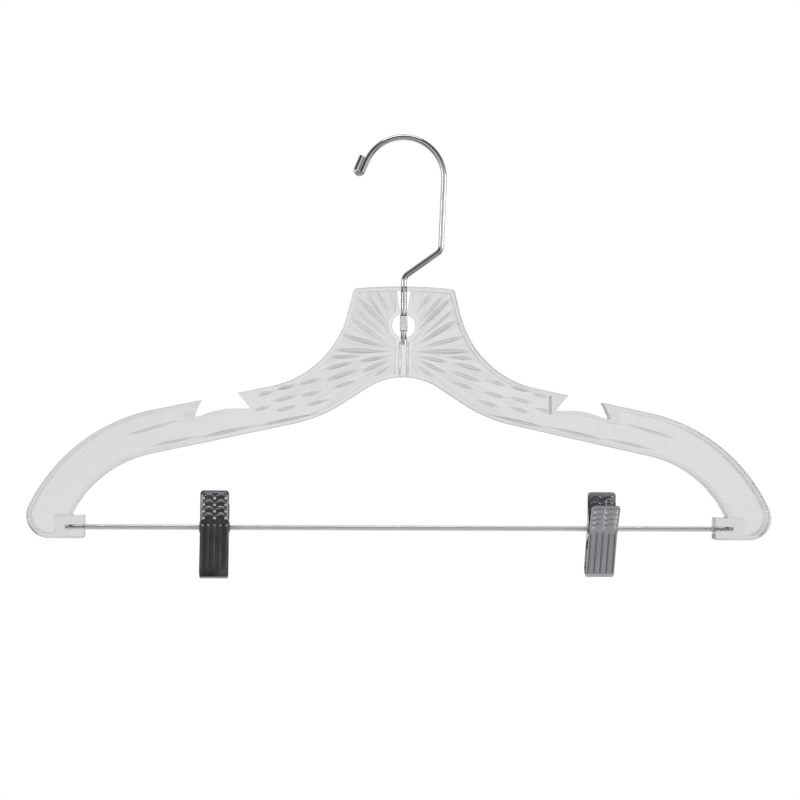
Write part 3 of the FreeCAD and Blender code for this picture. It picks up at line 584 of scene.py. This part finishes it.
def lining_sections():
    """Places across the jaw, each with how far the outline has shrunk there."""
    end = []
    for k in range(ROUND_STEPS + 1):
        angle = math.pi / 2 * k / ROUND_STEPS
        end.append((LINING_HALF - LINING_ROUND * (1 - math.sin(angle)), LINING_ROUND * (1 - math.cos(angle))))
    return [(-x, inset) for x, inset in reversed(end)] + end


for side, matrix in CLIP_FRAMES.items():
    for face, toward in FACES:
        outline = lining_outline(toward)
        centre_y = sum(y for y, _ in outline) / len(outline)
        centre_z = sum(z for _, z in outline) / len(outline)
        rings = []
        for x, inset in lining_sections():
            y_scale = 1 - inset / abs(centre_y)
            z_scale = 1 - inset / LINING_HALF_HEIGHT
            rings.append([matrix @ Vector((x, centre_y + (y - centre_y) * y_scale,
                                           centre_z + (z - centre_z) * z_scale)) for y, z in outline])
        form = bmesh.new()
        closed_shell(form, rings)
        lining = finish_piece("%s_%s_lining" % (side, face), form, SOFT_VINYL)
        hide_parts("%s_clip_%s_pad" % (side, face))
        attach(lining, "%s_clip_%s" % (side, face))


# %% [markdown]
# ## Pressed beads
# The press that cuts the jaws also raises a bead round each finger tab, which stiffens the thin sheet and
# frames the arches. It is a round line, partly sunk, just inside the tab's edge.

# %% Pressed beads
TAB_TOP = Vector((0, 10.0, 18.95)) * MM
TAB_FOOT = Vector((0, 5.0, 0.0)) * MM
TAB_UP = (TAB_TOP - TAB_FOOT).normalized()
TAB_OUTWARD = Vector((0, TAB_UP.z, -TAB_UP.y))
BEAD_RADIUS = 0.5 * MM
BEAD_SINK = 0.2 * MM
BEAD_HALF = 7.35 * MM
# The bead starts and turns at these shares of the tab's length.
BEAD_LOW = 0.12
BEAD_HIGH = 0.94
BEAD_CORNER = 1.6 * MM
BEAD_CORNER_STEPS = 6
BEAD_END_SHARE = 0.5


def bead_path(toward):
    """Up one side of the tab, across its top and down the other side, with rounded corners."""
    slope = (TAB_TOP - TAB_FOOT).length
    flat = [(-BEAD_HALF, BEAD_LOW * slope)]
    high = BEAD_HIGH * slope
    for sign in (-1, 1):
        for k in range(BEAD_CORNER_STEPS + 1):
            u = k / BEAD_CORNER_STEPS
            angle = math.pi / 2 * (u if sign == -1 else 1 - u)
            flat.append((sign * (BEAD_HALF - BEAD_CORNER + BEAD_CORNER * math.cos(angle)),
                         high - BEAD_CORNER + BEAD_CORNER * math.sin(angle)))
    flat.append((BEAD_HALF, BEAD_LOW * slope))
    points = []
    for x, rise in flat:
        point = TAB_FOOT + TAB_UP * rise - TAB_OUTWARD * BEAD_SINK + Vector((x, 0, 0))
        points.append(Vector((point.x, toward * point.y, point.z)))
    return points


for side, matrix in CLIP_FRAMES.items():
    for face, toward in FACES:
        path = bead_path(toward)
        radii = [BEAD_RADIUS] * len(path)
        radii[0] = radii[-1] = BEAD_RADIUS * BEAD_END_SHARE
        form = bmesh.new()
        closed_shell(form, [[matrix @ point for point in ring] for ring in tube_rings(path, radii)])
        bead = finish_piece("%s_%s_tab_bead" % (side, face), form, CHROMED_SHEET)
        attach(bead, "%s_clip_%s" % (side, face))


# %% [markdown]
# ## Grip arches and studs
# The tab's grip is two columns of arches pressed up from behind, and where two arches meet at the middle
# and at the sides the metal is pushed up into a small round stud. Five more studs stand at the heads of the
# jaw's ribs. The studs have a lighter chrome colour, a painted highlight, so they glitter on a dark clip.
# The arches here are fuller than the CAD's thin lines and cover them.

# %% Grip arches and studs
GRIP_ROWS = 4
GRIP_PITCH = 3.7 * MM
GRIP_FIRST = 4.6 * MM
GRIP_CENTRE = 3.57 * MM
GRIP_HALF = 3.2 * MM
GRIP_RISE = 1.3 * MM
GRIP_RADIUS = 0.9 * MM
GRIP_SINK = 0.45 * MM
GRIP_STEPS = 12
GRIP_SIDES = 10
# An arch loses this share of its radius at its two ends.
GRIP_THINNING = 0.45
STUD_RADIUS = 0.9 * MM
STUD_SINK = 0.3 * MM
STUD_PLACES = (-6.4 * MM, 0, 6.4 * MM)
STUD_DROP = 1.1 * MM
# A whole ball would have this many steps from pole to pole; a stud uses the first few.
STUD_BALL_STEPS = 8
STUD_RINGS = 5
STUD_SIDES = 12
RIB_PITCH = 3.5 * MM
RIB_STUD_PLACES = [step * RIB_PITCH for step in (-2, -1, 0, 1, 2)]
RIB_STUD_LEVEL = -0.7 * MM


def on_tab(x, level, lift, toward):
    """Point over the tab's outer face: level is its height above the pivot, lift its height off the face."""
    point = TAB_FOOT + TAB_UP * (level / TAB_UP.z) + TAB_OUTWARD * lift + Vector((x, 0, 0))
    return Vector((point.x, toward * point.y, point.z))


def stud(form, matrix, x, level, toward):
    """Small dome on the tab. It stops inside the sheet, so that the jaw's inner face stays clean."""
    rings = []
    for k in range(1, STUD_RINGS + 1):
        angle = math.pi * k / STUD_BALL_STEPS
        ring_radius = STUD_RADIUS * math.sin(angle)
        lift = STUD_RADIUS * math.cos(angle) - STUD_SINK
        rings.append([matrix @ on_tab(x + ring_radius * math.cos(t), level + ring_radius * math.sin(t),
                                      lift, toward) for t in circle_turns(STUD_SIDES)])
    closed_shell(form, rings)


def grip_arch(form, matrix, column, level, toward):
    """One arch of the grip; column is -1 or 1, for the left or the right of the tab."""
    path = []
    radii = []
    for k in range(GRIP_STEPS + 1):
        u = 2 * k / GRIP_STEPS - 1
        path.append(matrix @ on_tab(column * GRIP_CENTRE + GRIP_HALF * u, level + GRIP_RISE * (1 - u * u),
                                    -GRIP_SINK, toward))
        radii.append(GRIP_RADIUS * (1 - GRIP_THINNING * u ** 4))
    closed_shell(form, tube_rings(path, radii, GRIP_SIDES))


for side, matrix in CLIP_FRAMES.items():
    for face, toward in FACES:
        grip_form = bmesh.new()
        stud_form = bmesh.new()
        for row in range(GRIP_ROWS):
            level = GRIP_FIRST + row * GRIP_PITCH
            for column in (-1, 1):
                grip_arch(grip_form, matrix, column, level, toward)
            for x in STUD_PLACES:
                stud(stud_form, matrix, x, level - STUD_DROP, toward)
        for x in RIB_STUD_PLACES:
            stud(stud_form, matrix, x, RIB_STUD_LEVEL, toward)
        grip = finish_piece("%s_%s_grip" % (side, face), grip_form, CHROMED_SHEET)
        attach(grip, "%s_clip_%s" % (side, face))
        studs = finish_piece("%s_%s_studs" % (side, face), stud_form, HIGHLIGHT_BRIGHTENED_STUDS)
        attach(studs, "%s_clip_%s" % (side, face))


# %% [markdown]
# ## Studio
# Clear plastic and chrome show what is around them, so the room is the light. Behind the hanger is a pale
# backdrop, brightest at eye height. In front are a pale floor, a dark table edge, a pale wall up to eye
# height and a dark wall above it, with a pale wall at either side. The dark parts are what the ribs and
# the wire bend into view as dark lines. Looked at directly, the room is plain white.

# %% Floor
FLOOR_DROP = 0.75
FLOOR_RADIUS = 1.5


def make_floor():
    """Round matt floor, far below the hanger."""
    mesh = bpy.data.meshes.new("studio_floor")
    form = bmesh.new()
    bmesh.ops.create_circle(form, cap_ends=True, segments=96, radius=FLOOR_RADIUS)
    form.to_mesh(mesh)
    form.free()
    floor = bpy.data.objects.new("studio_floor", mesh)
    floor.location = (0, 0, -FLOOR_DROP)
    bpy.context.scene.collection.objects.link(floor)
    material, tree = new_material("matt_white_paint")
    grain = add(tree, "ShaderNodeTexNoise", {"Scale": 30.0, "Detail": 3.0})
    tone = add(tree, "ShaderNodeMixRGB", {"Fac": grain.outputs[0], "Color1": linear("F2F2F1"),
                                          "Color2": linear("EDEDEC")})
    paint = add(tree, "ShaderNodeBsdfPrincipled", {"Base Color": tone.outputs[0], "Roughness": 0.7})
    add(tree, "ShaderNodeOutputMaterial", {"Surface": paint.outputs[0]})
    mesh.materials.append(material)
    floor.visible_glossy = False


make_floor()

# %% Room
# Brightness of the room in front, against the height: 0 is straight down, 0.5 eye height, 1 straight up.
FRONT_TONES = [
    (0.0, 0.75), (0.14, 0.75),
    (0.165, 0.01), (0.235, 0.01),
    (0.265, 0.50), (0.40, 0.60), (0.48, 1.6), (0.505, 1.6),
    (0.516, 0.90), (0.526, 0.26), (0.54, 0.09), (0.92, 0.09), (0.97, 0.55),
]


def grey(tone):
    """Linear grey as RGBA."""
    return (tone,) * 3 + (1,)


def make_world():
    """The room as a background whose brightness depends on the direction only."""
    world = bpy.data.worlds.new("studio_room")
    bpy.context.scene.world = world
    world.use_nodes = True
    tree = world.node_tree
    tree.nodes.clear()
    way = add(tree, "ShaderNodeTexCoord").outputs["Generated"]
    split = add(tree, "ShaderNodeSeparateXYZ", {"Vector": way})
    height = add(tree, "ShaderNodeMath", {0: split.outputs["Z"]}, operation="ABSOLUTE")
    backdrop = add(tree, "ShaderNodeMapRange", {
        "Value": height.outputs[0], "From Min": 0.16, "From Max": 0.50, "To Min": 0.90, "To Max": 0.52},
        interpolation_type="SMOOTHSTEP")
    # The floor far below the backdrop is lit again.
    behind = add(tree, "ShaderNodeMapRange", {
        "Value": split.outputs["Z"], "From Min": -0.72, "From Max": -0.62, "To Min": 0.95,
        "To Max": backdrop.outputs[0]}, interpolation_type="SMOOTHSTEP")
    # In front: pale floor, a dark table edge, pale wall up to eye height, dark upper wall, bright ceiling.
    # The pale wall's upper edge climbs to the right.
    aside = add(tree, "ShaderNodeClamp", {"Value": split.outputs["X"], "Min": -0.12, "Max": 0.12})
    climb = add(tree, "ShaderNodeMath", {0: split.outputs["Z"], 1: aside.outputs[0]}, operation="SUBTRACT")
    level = add(tree, "ShaderNodeMath", {0: climb.outputs[0], 1: 0.5, 2: 0.5}, operation="MULTIPLY_ADD")
    front = add(tree, "ShaderNodeValToRGB", {"Fac": level.outputs[0]})
    ramp = front.color_ramp
    for element, (position, tone) in zip(ramp.elements, (FRONT_TONES[0], FRONT_TONES[-1])):
        element.position = position
        element.color = grey(tone)
    for position, tone in FRONT_TONES[1:-1]:
        ramp.elements.new(position).color = grey(tone)
    # Pale side walls: the right one reaches far up and down, the left one is a low band at eye height.
    right = add(tree, "ShaderNodeMapRange", {"Value": split.outputs["X"], "From Min": 0.2, "From Max": 0.75,
                                             "To Min": 0.0, "To Max": 0.85},
                interpolation_type="SMOOTHSTEP")
    right_reach = add(tree, "ShaderNodeMapRange", {"Value": height.outputs[0], "From Min": 0.2,
                                                   "From Max": 0.5, "To Min": 1.0, "To Max": 0.06},
                      interpolation_type="SMOOTHSTEP")
    left = add(tree, "ShaderNodeMapRange", {"Value": split.outputs["X"], "From Min": -0.2, "From Max": -0.07,
                                            "To Min": 0.9, "To Max": 0.0},
               interpolation_type="SMOOTHSTEP")
    left_reach = add(tree, "ShaderNodeMapRange", {"Value": height.outputs[0], "From Min": 0.12,
                                                  "From Max": 0.25, "To Min": 1.0, "To Max": 0.0},
                     interpolation_type="SMOOTHSTEP")
    right_wall = add(tree, "ShaderNodeMath", {0: right.outputs[0], 1: right_reach.outputs[0]},
                     operation="MULTIPLY")
    left_wall = add(tree, "ShaderNodeMath", {0: left.outputs[0], 1: left_reach.outputs[0]},
                    operation="MULTIPLY")
    walls = add(tree, "ShaderNodeMath", {0: right_wall.outputs[0], 1: left_wall.outputs[0]},
                operation="MAXIMUM")
    lit = add(tree, "ShaderNodeMixRGB", {"Fac": walls.outputs[0], "Color1": front.outputs[0],
                                         "Color2": grey(0.95)})
    back = add(tree, "ShaderNodeMapRange", {"Value": split.outputs["Y"], "From Min": -0.4, "From Max": 0.1},
               interpolation_type="SMOOTHSTEP")
    room = add(tree, "ShaderNodeMixRGB", {"Fac": back.outputs[0], "Color1": lit.outputs[0],
                                          "Color2": behind.outputs[0]})
    studio = add(tree, "ShaderNodeBackground", {"Color": room.outputs[0], "Strength": 1.0})
    plain = add(tree, "ShaderNodeBackground", {"Color": grey(1), "Strength": 1.0})
    path = add(tree, "ShaderNodeLightPath")
    both = add(tree, "ShaderNodeMixShader", {0: path.outputs["Is Camera Ray"], 1: studio.outputs[0],
                                             2: plain.outputs[0]})
    add(tree, "ShaderNodeOutputWorld", {"Surface": both.outputs[0]})


make_world()

# %% Lights
def soft_light(name, place, aim, width, height, power):
    """Rectangular softbox at a place, turned towards aim; sizes in metres, power in watts."""
    data = bpy.data.lights.new(name, "AREA")
    data.shape = "RECTANGLE"
    data.size = width
    data.size_y = height
    data.energy = power
    light = bpy.data.objects.new(name, data)
    light.location = place
    light.rotation_euler = (Vector(aim) - Vector(place)).to_track_quat("-Z", "Y").to_euler()
    bpy.context.scene.collection.objects.link(light)
    light.visible_camera = False
    print("light", name, power, "W")
    return light


soft_light("top_softbox", (0, -0.2, 1.3), AIM, 1.2, 0.8, 8)
soft_light("left_softbox", (-1.4, -0.8, 0), AIM, 0.3, 0.5, 2.5)
soft_light("right_softbox", (1.4, -0.6, 0), AIM, 0.3, 0.5, 3.5)
# This one lights matt things only, so the floor is pale and no reflection changes.
fill = soft_light("floor_fill", (0, 0, 1.4), (0, 0, -FLOOR_DROP), 1.6, 1.6, 30)
fill.visible_glossy = False
fill.visible_transmission = False

bpy.context.scene.view_settings.view_transform = "Standard"
